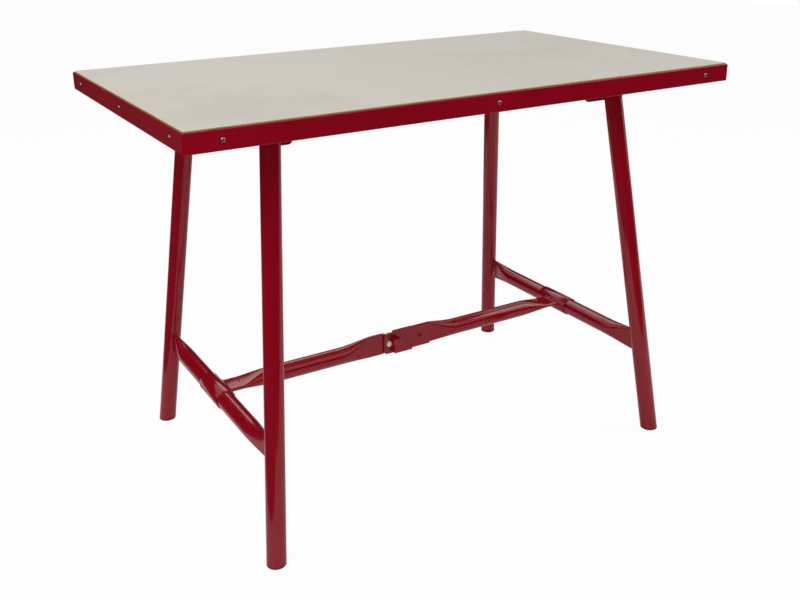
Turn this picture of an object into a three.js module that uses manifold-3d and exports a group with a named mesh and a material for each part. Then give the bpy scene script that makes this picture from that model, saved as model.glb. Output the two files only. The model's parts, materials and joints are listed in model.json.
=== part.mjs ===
// Folding workbench: a plywood top in a steel angle rim, two hinged leg frames and a two-piece stay.
// Millimetres, +Z up. The origin is on the floor under the middle of the top, +X along the long side.
import * as THREE from 'three';
import { mergeVertices } from 'three/addons/utils/BufferGeometryUtils.js';
import Module from 'manifold-3d';

const wasm = await Module();
wasm.setup();

// Driving dimensions of the top
const TOP_LENGTH = 1200;
const TOP_WIDTH = 700;
const TOP_HEIGHT = 850;
const RIM_HEIGHT = 35;
const RIM_FLANGE = 35;
const RIM_WALL = 3;
const PLY_PROUD = 3;

// Leg frames: the pivot's inset from the top's edges, the foot's splay from the pivot, and the tubes
const PIVOT_INSET_X = 200;
const PIVOT_INSET_Y = 131;
const PIVOT_DROP = 30;
const FOOT_SPLAY_X = 78;
const FOOT_SPLAY_Y = 105;
const LEG_DIAMETER = 38;
const LEG_WALL = 2;
const FOOT_CAP_HEIGHT = 3.5;
const FOOT_PLUG_DEPTH = 26;

// Crossbars, stay tubes and sleeves
const CROSSBAR_HEIGHT = 212.5;
const CROSSBAR_DIAMETER = 38;
const STAY_DIAMETER = 38;
const STAY_RISE = 4.5;
const TUBE_WALL = 2;
const FLAT_THICKNESS = 8;
const CROSSBAR_FLAT_HEIGHT = 50;
const STAY_FLAT_HEIGHT = 52;
const CROSSBAR_FLAT_LENGTH = 14;
const STAY_FLAT_LENGTH = 30;
const CROSSBAR_FLARE_LENGTH = 80;
const STAY_FLARE_LENGTH = 76;
const SLEEVE_DIAMETER = 42.6;
const SLEEVE_LENGTH = 100;

// Knee of the stay: a plate on the right half, and the bolt that joins the left half's tongue to it
const KNEE_RISE = 3;
const KNEE_PIN_RISE = 1;
const KNEE_BOLT_X = -46;
const KNEE_BOLT_DIAMETER = 8;
const KNEE_HEX = 13;
const KNEE_HEAD_HEIGHT = 5.3;
const KNEE_NUT_HEIGHT = 6.5;
const LEFT_FLAT_START = -92;
const LEFT_TONGUE_THICKNESS = 6;
const LEFT_TONGUE_TIP = -36;
const RIGHT_TONGUE_START = 14;
const KNEE_PLATE_START = -57;
const KNEE_PLATE_END = 66;
const KNEE_PLATE_HEIGHT = 51;
const KNEE_PLATE_THICKNESS = 3;
const KNEE_PLATE_CORNER = 9;
const KNEE_LUG_START = -34;
const KNEE_LUG_STEP = 16;
const KNEE_LUG_END = 42;
const KNEE_LUG_RISE = 4;
const PLATE_RIVET_X = 39;
const PLATE_RIVET_DIAMETER = 8;
const PLATE_RIVET_BORE = 5;
const PLATE_RIVET_HEAD = 11;
const PLATE_RIVET_HEAD_HEIGHT = 1.2;

// Catch on the knee plate: a sheet bent into a U, whose front leaf is the thumb tab
const CATCH_SHEET = 2.5;
const CATCH_STAND_OFF = 15;
const CATCH_LEFT = -37;
const CATCH_RIGHT = 10;
const CATCH_DROP = 21;
const CATCH_HEIGHT = 34;
const CATCH_TOP_WIDTH = 17;
const CATCH_RIVET_X = -2;
const CATCH_RIVET_RISE = 7;
const CATCH_RIVET_DIAMETER = 6;
const CATCH_RIVET_HEAD = 10;
const CATCH_RIVET_HEAD_HEIGHT = 1.8;

// Hinge brackets under the top
const BRACKET_REACH = 54;
const BRACKET_LENGTH = 102;
const BRACKET_WALL = 3;
const BRACKET_DEPTH = 48;
const BRACKET_INNER_CORNER = 10;
const BRACKET_OUTER_CORNER = 46;
const BRACKET_SIDE_GAP = 1.2;
const HINGE_BOLT_DIAMETER = 10;
const HINGE_HEAD = 13;
const HINGE_HEAD_HEIGHT = 2.5;
const HINGE_HEX = 17;
const HINGE_NUT_HEIGHT = 8;

// Fasteners
const RIM_SCREW_COUNT = 3;
const RIM_SCREW_END_X = 66;
const RIM_SCREW_END_Y = 62;
const RIM_SCREW_DIAMETER = 5;
const RIM_SCREW_LENGTH = 28;
const RIM_SCREW_HEAD = 8.4;
const RIM_SCREW_HEAD_HEIGHT = 2.2;
const BRACKET_SCREW_DIAMETER = 4;
const BRACKET_SCREW_LENGTH = 20;
const BRACKET_SCREW_HEAD = 9;
const BRACKET_SCREW_HEAD_HEIGHT = 2.7;
const BRACKET_SCREW_EDGE = 10;
const THREAD_END = 2;

// Clearances and mesh fineness
const CLEARANCE = 0.3;
const TUBE_SIDES = 24;
const FLARE_STEPS = 5;
const ROUND_SIDES = 16;
const SCREW_SIDES = 9;
const RIVET_SIDES = 12;
const HEX_SIDES = 6;
const ARC_STEPS = 6;
const OVERCUT = 1;

// Heights and radii that follow from the driving dimensions
const RIM_TOP = TOP_HEIGHT - PLY_PROUD;
const RIM_BOTTOM = RIM_TOP - RIM_HEIGHT;
const PLY_BOTTOM = RIM_BOTTOM + RIM_WALL + CLEARANCE;
const BRACKET_TOP = PLY_BOTTOM - CLEARANCE;
const BRACKET_CEILING = BRACKET_TOP - BRACKET_WALL;
const PIVOT_X = TOP_LENGTH / 2 - PIVOT_INSET_X;
const PIVOT_Y = TOP_WIDTH / 2 - PIVOT_INSET_Y;
const PIVOT_Z = BRACKET_TOP - PIVOT_DROP;
const SPLAY_X = FOOT_SPLAY_X / PIVOT_Z;
const SPLAY_Y = FOOT_SPLAY_Y / PIVOT_Z;
const LEG_RADIUS = LEG_DIAMETER / 2;
const LEG_TOP_RADIUS = BRACKET_CEILING - CLEARANCE - PIVOT_Z;
const STAY_Z = CROSSBAR_HEIGHT + STAY_RISE;
const SCREW_Z = RIM_BOTTOM + RIM_HEIGHT / 2;
const FAR = 2 * (TOP_LENGTH + TOP_WIDTH + TOP_HEIGHT);

// Finishes
const PAINT = { color: 0x86101d, roughness: 0.3, metalness: 0.15 };
const PLYWOOD = { color: 0xcdc7bd, roughness: 0.75, metalness: 0 };
const ZINC = { color: 0xc4c8cc, roughness: 0.35, metalness: 0.9 };
const PLASTIC = { color: 0x1d1a1b, roughness: 0.6, metalness: 0 };

const bench = new THREE.Group();

function solidOf(geometry) {
  const bare = geometry.index ? geometry.toNonIndexed() : geometry.clone();
  bare.deleteAttribute('normal');
  bare.deleteAttribute('uv');
  const merged = mergeVertices(bare, 1e-4);
  const vertProperties = new Float32Array(merged.attributes.position.array);
  const triVerts = new Uint32Array(merged.index.array);
  return new wasm.Manifold(new wasm.Mesh({ numProp: 3, vertProperties, triVerts }));
}

function geometryOf(solid) {
  const mesh = solid.getMesh();
  const geometry = new THREE.BufferGeometry();
  geometry.setAttribute('position', new THREE.BufferAttribute(mesh.vertProperties, 3));
  geometry.setIndex(new THREE.BufferAttribute(mesh.triVerts, 1));
  geometry.computeVertexNormals();
  return geometry;
}

function addPiece(name, solid, finish) {
  const piece = new THREE.Mesh(geometryOf(solid), new THREE.MeshStandardMaterial(finish));
  piece.name = name;
  bench.add(piece);
}

function box(low, high) {
  const size = high.map((value, axis) => value - low[axis]);
  const geometry = new THREE.BoxGeometry(...size);
  geometry.translate(...low.map((value, axis) => value + size[axis] / 2));
  return solidOf(geometry);
}

// A round bar from one point to another
function bar(start, end, radius, sides = ROUND_SIDES) {
  const from = new THREE.Vector3(...start);
  const along = new THREE.Vector3(...end).sub(from);
  const geometry = new THREE.CylinderGeometry(radius, radius, along.length(), sides);
  geometry.translate(0, along.length() / 2, 0);
  const turn = new THREE.Quaternion().setFromUnitVectors(new THREE.Vector3(0, 1, 0), along.normalize());
  geometry.applyQuaternion(turn);
  geometry.translate(from.x, from.y, from.z);
  return solidOf(geometry);
}

// A bar along Y through a point of the XZ plane
function crossBar(x, z, y0, y1, radius, sides = ROUND_SIDES) {
  return bar([x, y0, z], [x, y1, z], radius, sides);
}

// A plate outlined in XZ, from y0 to y1
function plate(shape, y0, y1) {
  const options = { depth: y1 - y0, bevelEnabled: false, curveSegments: ARC_STEPS };
  const geometry = new THREE.ExtrudeGeometry(shape, options);
  geometry.rotateX(Math.PI / 2);
  geometry.translate(0, y1, 0);
  return solidOf(geometry);
}

// A turned piece: profile points as [radius, height], aimed from a point along a direction
function turned(profile, origin, direction, sides) {
  const geometry = new THREE.LatheGeometry(profile.map(([r, h]) => new THREE.Vector2(r, h)), sides);
  const aim = new THREE.Vector3(...direction).normalize();
  geometry.applyQuaternion(new THREE.Quaternion().setFromUnitVectors(new THREE.Vector3(0, 1, 0), aim));
  geometry.translate(...origin);
  return solidOf(geometry);
}

// Pressed tubes: a round tube whose ends are squashed flat.
// A section is a circle of radius r whose quarters are moved apart by wide and tall; rise lifts it.
function sectionRing(station, inset) {
  const ring = [];
  for (let i = 0; i < TUBE_SIDES; i += 1) {
    const angle = ((i + 0.5) * 2 * Math.PI) / TUBE_SIDES;
    const r = station.r - inset;
    const y = r * Math.cos(angle) + Math.sign(Math.cos(angle)) * station.wide;
    const z = r * Math.sin(angle) + Math.sign(Math.sin(angle)) * station.tall;
    ring.push([station.x, y, z + station.rise]);
  }
  return ring;
}

function roundStation(x, diameter) {
  return { x, r: diameter / 2, wide: 0, tall: 0, rise: 0 };
}

function flatStation(x, breadth, upright, thickness = FLAT_THICKNESS) {
  const r = thickness / 2;
  const spread = breadth / 2 - r;
  return { x, r, wide: upright ? 0 : spread, tall: upright ? spread : 0, rise: 0 };
}

function kneeStation(x, thickness) {
  return { ...flatStation(x, STAY_FLAT_HEIGHT, true, thickness), rise: KNEE_RISE };
}

function easedStations(from, to) {
  const steps = [];
  for (let i = 1; i < FLARE_STEPS; i += 1) {
    const t = i / FLARE_STEPS;
    const ease = t * t * (3 - 2 * t);
    const mix = (key, share) => from[key] + (to[key] - from[key]) * share;
    const [r, wide, tall, rise] = ['r', 'wide', 'tall', 'rise'].map((key) => mix(key, ease));
    steps.push({ x: mix('x', t), r, wide, tall, rise });
  }
  return steps;
}

// Walls run from ring to ring, outside and inside, and the two ends are open rings
function pressedTube(stations) {
  const outer = stations.map((station) => sectionRing(station, 0));
  const inner = stations.map((station) => sectionRing(station, TUBE_WALL)).reverse();
  const rings = [...outer, ...inner];
  const index = [];
  rings.forEach((ring, k) => {
    const here = k * TUBE_SIDES;
    const next = ((k + 1) % rings.length) * TUBE_SIDES;
    for (let i = 0; i < TUBE_SIDES; i += 1) {
      const j = (i + 1) % TUBE_SIDES;
      index.push(here + i, here + j, next + i);
      index.push(here + j, next + j, next + i);
    }
  });
  const geometry = new THREE.BufferGeometry();
  geometry.setAttribute('position', new THREE.Float32BufferAttribute(rings.flat(2), 3));
  geometry.setIndex(index);
  return geometry;
}

// Plywood top and angle rim
function rimScrewSpots() {
  const spots = [];
  const lastX = TOP_LENGTH / 2 - RIM_SCREW_END_X;
  const lastY = TOP_WIDTH / 2 - RIM_SCREW_END_Y;
  for (let i = 0; i < RIM_SCREW_COUNT; i += 1) {
    const share = (2 * i) / (RIM_SCREW_COUNT - 1) - 1;
    spots.push({ rail: 'front', i, at: [share * lastX, -TOP_WIDTH / 2, SCREW_Z], out: [0, -1, 0] });
    spots.push({ rail: 'back', i, at: [share * lastX, TOP_WIDTH / 2, SCREW_Z], out: [0, 1, 0] });
    spots.push({ rail: 'left', i, at: [-TOP_LENGTH / 2, share * lastY, SCREW_Z], out: [-1, 0, 0] });
    spots.push({ rail: 'right', i, at: [TOP_LENGTH / 2, share * lastY, SCREW_Z], out: [1, 0, 0] });
  }
  return spots;
}

// A pan head screw: its seat is at height 0 and its point below
function screwProfile(length, diameter, headDiameter, headHeight) {
  const shank = diameter / 2;
  const head = headDiameter / 2;
  const crown = CLEARANCE + headHeight;
  return [
    [0, -length],
    [shank, shank - length],
    [shank, CLEARANCE],
    [head, CLEARANCE],
    [head, CLEARANCE + headHeight / 3],
    [head - headHeight / 2, crown],
    [0, crown],
  ];
}

function along(spot, distance) {
  return spot.at.map((value, axis) => value + spot.out[axis] * distance);
}

function screwHole(spot, diameter, depth) {
  return bar(along(spot, RIM_WALL), along(spot, -depth), diameter / 2 + CLEARANCE, SCREW_SIDES);
}

// The L section lies in YZ with its corner at the outer bottom edge; its ends are mitred
function mitredRail(length) {
  const section = new THREE.Shape();
  section.moveTo(0, 0);
  section.lineTo(RIM_FLANGE, 0);
  section.lineTo(RIM_FLANGE, RIM_WALL);
  section.lineTo(RIM_WALL, RIM_WALL);
  section.lineTo(RIM_WALL, RIM_HEIGHT);
  section.lineTo(0, RIM_HEIGHT);
  section.closePath();
  const geometry = new THREE.ExtrudeGeometry(section, { depth: length, bevelEnabled: false });
  const points = geometry.attributes.position;
  for (let i = 0; i < points.count; i += 1) {
    const depth = points.getX(i);
    const end = points.getZ(i) > length / 2 ? 1 : -1;
    const x = end * (length / 2 - depth - CLEARANCE / 2);
    points.setXYZ(i, x, depth, points.getY(i));
  }
  geometry.translate(0, 0, RIM_BOTTOM);
  return geometry;
}

function addTop() {
  const spots = rimScrewSpots();
  const edgeX = TOP_LENGTH / 2 - RIM_WALL - CLEARANCE;
  const edgeY = TOP_WIDTH / 2 - RIM_WALL - CLEARANCE;
  let board = box([-edgeX, -edgeY, PLY_BOTTOM], [edgeX, edgeY, TOP_HEIGHT]);
  spots.forEach((spot) => {
    board = board.subtract(screwHole(spot, RIM_SCREW_DIAMETER, RIM_SCREW_LENGTH + CLEARANCE));
  });
  bracketScrewSpots().forEach((spot) => {
    board = board.subtract(bracketScrewHole(spot));
  });
  addPiece('plywood_top', board, PLYWOOD);

  const rails = [
    ['front', TOP_LENGTH, TOP_WIDTH, 0],
    ['right', TOP_WIDTH, TOP_LENGTH, Math.PI / 2],
    ['back', TOP_LENGTH, TOP_WIDTH, Math.PI],
    ['left', TOP_WIDTH, TOP_LENGTH, -Math.PI / 2],
  ];
  rails.forEach(([side, length, across, turn]) => {
    const geometry = mitredRail(length);
    geometry.translate(0, -across / 2, 0);
    geometry.rotateZ(turn);
    let rail = solidOf(geometry);
    spots.filter((spot) => spot.rail === side).forEach((spot) => {
      rail = rail.subtract(screwHole(spot, RIM_SCREW_DIAMETER, RIM_WALL + CLEARANCE));
    });
    addPiece(`${side}_rail`, rail, PAINT);
  });

  const profile = screwProfile(RIM_SCREW_LENGTH, RIM_SCREW_DIAMETER, RIM_SCREW_HEAD, RIM_SCREW_HEAD_HEIGHT);
  spots.forEach((spot) => {
    const screw = turned(profile, spot.at, spot.out, SCREW_SIDES);
    addPiece(`${spot.rail}_rim_screw_${spot.i + 1}`, screw, ZINC);
  });
}

// Hinge brackets: angles screwed to the board, with a flange on the inner side of the leg
const CORNERS = [
  { name: 'front_left', sx: -1, sy: -1 },
  { name: 'front_right', sx: 1, sy: -1 },
  { name: 'back_left', sx: -1, sy: 1 },
  { name: 'back_right', sx: 1, sy: 1 },
];
const LEG_SLANT = Math.hypot(1, SPLAY_X, SPLAY_Y);
const BRACKET_INNER_X = PIVOT_X - BRACKET_REACH;
const BRACKET_OUTER_X = BRACKET_INNER_X + BRACKET_LENGTH;
const FLANGE_INSET = LEG_RADIUS * LEG_SLANT + LEG_TOP_RADIUS * SPLAY_Y + BRACKET_SIDE_GAP;
const SHEET_REACH = LEG_RADIUS * LEG_SLANT + BRACKET_REACH * SPLAY_Y + BRACKET_SIDE_GAP;

function legPoint({ sx, sy }, z) {
  const drop = PIVOT_Z - z;
  return [sx * (PIVOT_X + drop * SPLAY_X), sy * (PIVOT_Y + drop * SPLAY_Y), z];
}

function bracketScrewSpots() {
  const inset = BRACKET_SCREW_EDGE;
  const middle = PIVOT_Y + (SHEET_REACH - FLANGE_INSET) / 2;
  return CORNERS.flatMap((corner) => [BRACKET_INNER_X + inset, BRACKET_OUTER_X - inset].map((x, i) => ({
    name: `${corner.name}_bracket_screw_${i + 1}`,
    at: [corner.sx * x, corner.sy * middle, BRACKET_CEILING],
  })));
}

function bracketScrewHole(spot) {
  const [x, y] = spot.at;
  const top = BRACKET_CEILING + BRACKET_SCREW_LENGTH + CLEARANCE;
  const radius = BRACKET_SCREW_DIAMETER / 2 + CLEARANCE;
  return bar([x, y, BRACKET_CEILING - OVERCUT], [x, y, top], radius, SCREW_SIDES);
}

// The angle's section in YZ, mirrored to the side of the leg that it stands on
function angleSection(sy) {
  const [nearY, farY] = [PIVOT_Y - FLANGE_INSET, PIVOT_Y + SHEET_REACH];
  const low = BRACKET_TOP - BRACKET_DEPTH;
  const outline = [
    [nearY - BRACKET_WALL, low],
    [nearY, low],
    [nearY, BRACKET_CEILING],
    [farY, BRACKET_CEILING],
    [farY, BRACKET_TOP],
    [nearY - BRACKET_WALL, BRACKET_TOP],
  ];
  return new THREE.Shape(outline.map(([y, z]) => new THREE.Vector2(sy * y, z)));
}

// The side view of a bracket: its inner lower corner is rounded, its outer one cut off
function flangeShape(sx) {
  const low = BRACKET_TOP - BRACKET_DEPTH;
  const above = BRACKET_TOP + BRACKET_WALL;
  const inner = sx * BRACKET_INNER_X;
  const outer = sx * BRACKET_OUTER_X;
  const shape = new THREE.Shape();
  shape.moveTo(inner, above);
  shape.lineTo(inner, low + BRACKET_INNER_CORNER);
  shape.quadraticCurveTo(inner, low, inner + sx * BRACKET_INNER_CORNER, low);
  shape.lineTo(outer - sx * BRACKET_OUTER_CORNER, low);
  shape.lineTo(outer, low + BRACKET_OUTER_CORNER);
  shape.lineTo(outer, above);
  shape.closePath();
  return shape;
}

function addBracket({ name, sx, sy }) {
  const nearY = PIVOT_Y - FLANGE_INSET;
  const farY = PIVOT_Y + SHEET_REACH;
  const [y0, y1] = sy > 0 ? [nearY, farY] : [-farY, -nearY];
  const middleX = sx * (BRACKET_INNER_X + BRACKET_OUTER_X) / 2;
  const run = 2 * BRACKET_LENGTH;
  const profile = new THREE.ExtrudeGeometry(angleSection(sy), { depth: run, bevelEnabled: false });
  profile.rotateY(Math.PI / 2);
  profile.rotateX(Math.PI / 2);
  profile.translate(middleX - run / 2, 0, 0);
  const [start, end] = [y0 - 2 * BRACKET_WALL, y1 + 2 * BRACKET_WALL];
  const holeRadius = HINGE_BOLT_DIAMETER / 2 + CLEARANCE;
  let bracket = solidOf(profile)
    .intersect(plate(flangeShape(sx), start, end))
    .subtract(crossBar(sx * PIVOT_X, PIVOT_Z, start, end, holeRadius));
  bracketScrewSpots().forEach((spot) => {
    bracket = bracket.subtract(bracketScrewHole(spot));
  });
  addPiece(`${name}_hinge_bracket`, bracket, PAINT);

  const legSide = LEG_RADIUS * LEG_SLANT + (HINGE_HEAD / 2) * SPLAY_Y;
  const headFace = sy * (PIVOT_Y + legSide + CLEARANCE);
  const nutFace = sy * (nearY - BRACKET_WALL - CLEARANCE);
  const shankEnd = nutFace - sy * (HINGE_NUT_HEIGHT + THREAD_END);
  const at = (y) => [sx * PIVOT_X, y, PIVOT_Z];
  const shankRadius = HINGE_BOLT_DIAMETER / 2;
  const shank = bar(at(shankEnd), at(headFace + sy * OVERCUT), shankRadius);
  const head = bar(at(headFace), at(headFace + sy * HINGE_HEAD_HEIGHT), HINGE_HEAD / 2);
  addPiece(`${name}_hinge_bolt`, shank.add(head), PAINT);
  const nut = bar(at(nutFace), at(nutFace - sy * HINGE_NUT_HEIGHT), HINGE_HEX / Math.sqrt(3), HEX_SIDES);
  const thread = bar(at(nutFace + sy * OVERCUT), at(shankEnd - sy * OVERCUT), shankRadius + CLEARANCE);
  addPiece(`${name}_hinge_nut`, nut.subtract(thread), ZINC);
}

function addBracketScrews() {
  const profile = screwProfile(
    BRACKET_SCREW_LENGTH, BRACKET_SCREW_DIAMETER, BRACKET_SCREW_HEAD, BRACKET_SCREW_HEAD_HEIGHT);
  bracketScrewSpots().forEach((spot) => {
    addPiece(spot.name, turned(profile, spot.at, [0, 0, -1], SCREW_SIDES), ZINC);
  });
}

// Legs: tubes cut level at the floor end; the top is rounded about the pivot on its inner side,
// and cut level on its outer side, where it bears on the bracket and stops the splay
function legTopKeep(sx) {
  const ceiling = PIVOT_Z + LEG_TOP_RADIUS;
  const round = crossBar(sx * PIVOT_X, PIVOT_Z, -FAR, FAR, LEG_TOP_RADIUS, TUBE_SIDES * 2);
  const below = box([-FAR, -FAR, FOOT_CAP_HEIGHT], [FAR, FAR, PIVOT_Z]);
  const outerX = sx > 0 ? [PIVOT_X, FAR] : [-FAR, -PIVOT_X];
  const outer = box([outerX[0], -FAR, PIVOT_Z - OVERCUT], [outerX[1], FAR, ceiling]);
  return round.add(below).add(outer);
}

function addLeg(corner) {
  const { name, sx, sy } = corner;
  const top = legPoint(corner, PIVOT_Z + 2 * LEG_TOP_RADIUS);
  const end = legPoint(corner, -LEG_DIAMETER);
  const outside = bar(top, end, LEG_RADIUS, TUBE_SIDES);
  const inside = bar(top, end, LEG_RADIUS - LEG_WALL, TUBE_SIDES);
  const holeRadius = HINGE_BOLT_DIAMETER / 2 + CLEARANCE;
  const [y0, y1] = [sy * PIVOT_Y - LEG_DIAMETER, sy * PIVOT_Y + LEG_DIAMETER];
  const hole = crossBar(sx * PIVOT_X, PIVOT_Z, y0, y1, holeRadius);
  const leg = outside.subtract(inside).intersect(legTopKeep(sx)).subtract(hole);
  addPiece(`${name}_leg`, leg, PAINT);

  const capTop = FOOT_CAP_HEIGHT - CLEARANCE;
  const capSlab = box([-FAR, -FAR, 0], [FAR, FAR, capTop]);
  const plugSlab = box([-FAR, -FAR, capTop / 2], [FAR, FAR, FOOT_CAP_HEIGHT + FOOT_PLUG_DEPTH]);
  const cap = bar(top, end, LEG_RADIUS, TUBE_SIDES).intersect(capSlab);
  const plug = bar(top, end, LEG_RADIUS - LEG_WALL - CLEARANCE, TUBE_SIDES).intersect(plugSlab);
  addPiece(`${name}_foot_plug`, cap.add(plug), PLASTIC);
}

// Crossbars: round in the middle, squashed upright at the legs and coped to them
const CROSSBAR_X = PIVOT_X + (PIVOT_Z - CROSSBAR_HEIGHT) * SPLAY_X;
const CROSSBAR_END_Y = PIVOT_Y + (PIVOT_Z - CROSSBAR_HEIGHT) * SPLAY_Y;

function addCrossbar(side, sx) {
  const flatEnd = CROSSBAR_END_Y - CROSSBAR_FLAT_LENGTH - LEG_RADIUS;
  const outerEnd = flatStation(-CROSSBAR_END_Y, CROSSBAR_FLAT_HEIGHT, true);
  const flatStart = flatStation(-flatEnd, CROSSBAR_FLAT_HEIGHT, true);
  const middle = roundStation(CROSSBAR_FLARE_LENGTH - flatEnd, CROSSBAR_DIAMETER);
  const half = [outerEnd, flatStart, ...easedStations(flatStart, middle), middle];
  const otherHalf = half.map((station) => ({ ...station, x: -station.x })).reverse();
  const geometry = pressedTube([...half, ...otherHalf]);
  geometry.rotateZ(Math.PI / 2);
  geometry.translate(sx * CROSSBAR_X, 0, CROSSBAR_HEIGHT);
  let crossbar = solidOf(geometry);
  CORNERS.filter((corner) => corner.sx === sx).forEach((corner) => {
    const top = legPoint(corner, PIVOT_Z);
    const end = legPoint(corner, 0);
    crossbar = crossbar.subtract(bar(top, end, LEG_RADIUS + CLEARANCE, TUBE_SIDES));
  });
  addPiece(`${side}_crossbar`, crossbar.decompose().reduce(larger), PAINT);

  const reach = SLEEVE_LENGTH / 2;
  const x = sx * CROSSBAR_X;
  const outside = crossBar(x, CROSSBAR_HEIGHT, -reach, reach, SLEEVE_DIAMETER / 2, TUBE_SIDES);
  const bore = CROSSBAR_DIAMETER / 2 + CLEARANCE;
  const inside = crossBar(x, CROSSBAR_HEIGHT, -reach - OVERCUT, reach + OVERCUT, bore, TUBE_SIDES);
  addPiece(`${side}_stay_sleeve`, outside.subtract(inside), PAINT);
}

// Coping can leave a sliver past the leg, so the main body is kept
function larger(a, b) {
  return a.volume() > b.volume() ? a : b;
}

// Stay tubes: squashed level at the sleeve and upright at the knee
const KNEE_Z = STAY_Z + KNEE_RISE;
const KNEE_HALF = STAY_FLAT_HEIGHT / 2;
const PLATE_INNER_Y = FLAT_THICKNESS / 2 + CLEARANCE;
const PLATE_OUTER_Y = PLATE_INNER_Y + KNEE_PLATE_THICKNESS;
const KNEE_PIN_Z = KNEE_Z + KNEE_PIN_RISE;
const CATCH_LOW = KNEE_Z - CATCH_DROP;
const CATCH_RIVET_Z = CATCH_LOW + CATCH_RIVET_RISE;

function stayTube(sx, kneeFlat, kneeEnd) {
  const sleeveEnd = flatStation(sx * CROSSBAR_X, STAY_FLAT_HEIGHT, false);
  const levelX = sx * (CROSSBAR_X - SLEEVE_DIAMETER / 2 - STAY_FLAT_LENGTH);
  const levelFlat = flatStation(levelX, STAY_FLAT_HEIGHT, false);
  const roundStart = roundStation(levelX - sx * STAY_FLARE_LENGTH, STAY_DIAMETER);
  const roundEnd = roundStation(kneeFlat.x + sx * STAY_FLARE_LENGTH, STAY_DIAMETER);
  const outerFlare = easedStations(levelFlat, roundStart);
  const kneeFlare = easedStations(roundEnd, kneeFlat);
  const outerRun = [sleeveEnd, levelFlat, ...outerFlare, roundStart];
  const run = [...outerRun, roundEnd, ...kneeFlare, kneeFlat, kneeEnd];
  const geometry = pressedTube(sx < 0 ? run : run.reverse());
  geometry.translate(0, 0, STAY_Z);
  const sleeve = crossBar(
    sx * CROSSBAR_X, CROSSBAR_HEIGHT, -FAR, FAR, SLEEVE_DIAMETER / 2 + CLEARANCE, TUBE_SIDES);
  return solidOf(geometry).subtract(sleeve).decompose().reduce(larger);
}

// The left tongue is the thinner one, a piece of its own, and its round nose holds the knee bolt's eye
function addStays() {
  const noseX = LEFT_TONGUE_TIP - KNEE_HALF;
  const nose = crossBar(noseX, KNEE_Z, -FAR, FAR, KNEE_HALF, TUBE_SIDES);
  const trim = box([noseX, -FAR, 0], [FAR, FAR, FAR]).subtract(nose);
  const seam = LEFT_FLAT_START - CLEARANCE;
  const tongueSide = box([seam, -FAR, 0], [FAR, FAR, FAR]);
  const tubeSide = box([-FAR, -FAR, 0], [LEFT_FLAT_START, FAR, FAR]);
  const eye = crossBar(KNEE_BOLT_X, KNEE_PIN_Z, -FAR, FAR, KNEE_BOLT_DIAMETER / 2 + CLEARANCE);
  const leftFlat = kneeStation(LEFT_FLAT_START, LEFT_TONGUE_THICKNESS);
  const leftEnd = kneeStation(LEFT_TONGUE_TIP + OVERCUT, LEFT_TONGUE_THICKNESS);
  const left = stayTube(-1, leftFlat, leftEnd).subtract(trim).subtract(eye);
  addPiece('left_stay_tube', left.subtract(tongueSide), PAINT);
  addPiece('left_stay_tongue', left.subtract(tubeSide), PAINT);

  const rightFlat = kneeStation(KNEE_PLATE_END, FLAT_THICKNESS);
  const rightEnd = kneeStation(RIGHT_TONGUE_START, FLAT_THICKNESS);
  const rivetHole = crossBar(PLATE_RIVET_X, KNEE_PIN_Z, -FAR, FAR, PLATE_RIVET_DIAMETER / 2 + CLEARANCE);
  addPiece('right_stay_tube', stayTube(1, rightFlat, rightEnd).subtract(rivetHole), PAINT);
}

// Knee plate: riveted to the right tube, with a stepped lug along its top edge
function kneePlateShape() {
  const [low, high] = [KNEE_Z - KNEE_PLATE_HEIGHT / 2, KNEE_Z + KNEE_PLATE_HEIGHT / 2];
  const round = KNEE_PLATE_CORNER;
  const shape = new THREE.Shape();
  shape.moveTo(KNEE_PLATE_END, low);
  shape.lineTo(KNEE_PLATE_END, high);
  shape.lineTo(KNEE_LUG_END, high);
  shape.lineTo(KNEE_LUG_END, high + KNEE_LUG_RISE / 2);
  shape.lineTo(KNEE_LUG_STEP, high + KNEE_LUG_RISE / 2);
  shape.lineTo(KNEE_LUG_STEP, high + KNEE_LUG_RISE);
  shape.lineTo(KNEE_LUG_START, high + KNEE_LUG_RISE);
  shape.lineTo(KNEE_LUG_START, high);
  shape.lineTo(KNEE_PLATE_START + round, high);
  shape.quadraticCurveTo(KNEE_PLATE_START, high, KNEE_PLATE_START, high - round);
  shape.lineTo(KNEE_PLATE_START, low + round);
  shape.quadraticCurveTo(KNEE_PLATE_START, low, KNEE_PLATE_START + round, low);
  shape.closePath();
  return shape;
}

function addKneePlate() {
  const holes = [
    [KNEE_BOLT_X, KNEE_PIN_Z, KNEE_BOLT_DIAMETER],
    [PLATE_RIVET_X, KNEE_PIN_Z, PLATE_RIVET_DIAMETER],
    [CATCH_RIVET_X, CATCH_RIVET_Z, CATCH_RIVET_DIAMETER],
  ];
  let kneePlate = plate(kneePlateShape(), -PLATE_OUTER_Y, -PLATE_INNER_Y);
  holes.forEach(([x, z, diameter]) => {
    kneePlate = kneePlate.subtract(crossBar(x, z, -FAR, FAR, diameter / 2 + CLEARANCE));
  });
  addPiece('knee_plate', kneePlate, PAINT);
}

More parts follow.
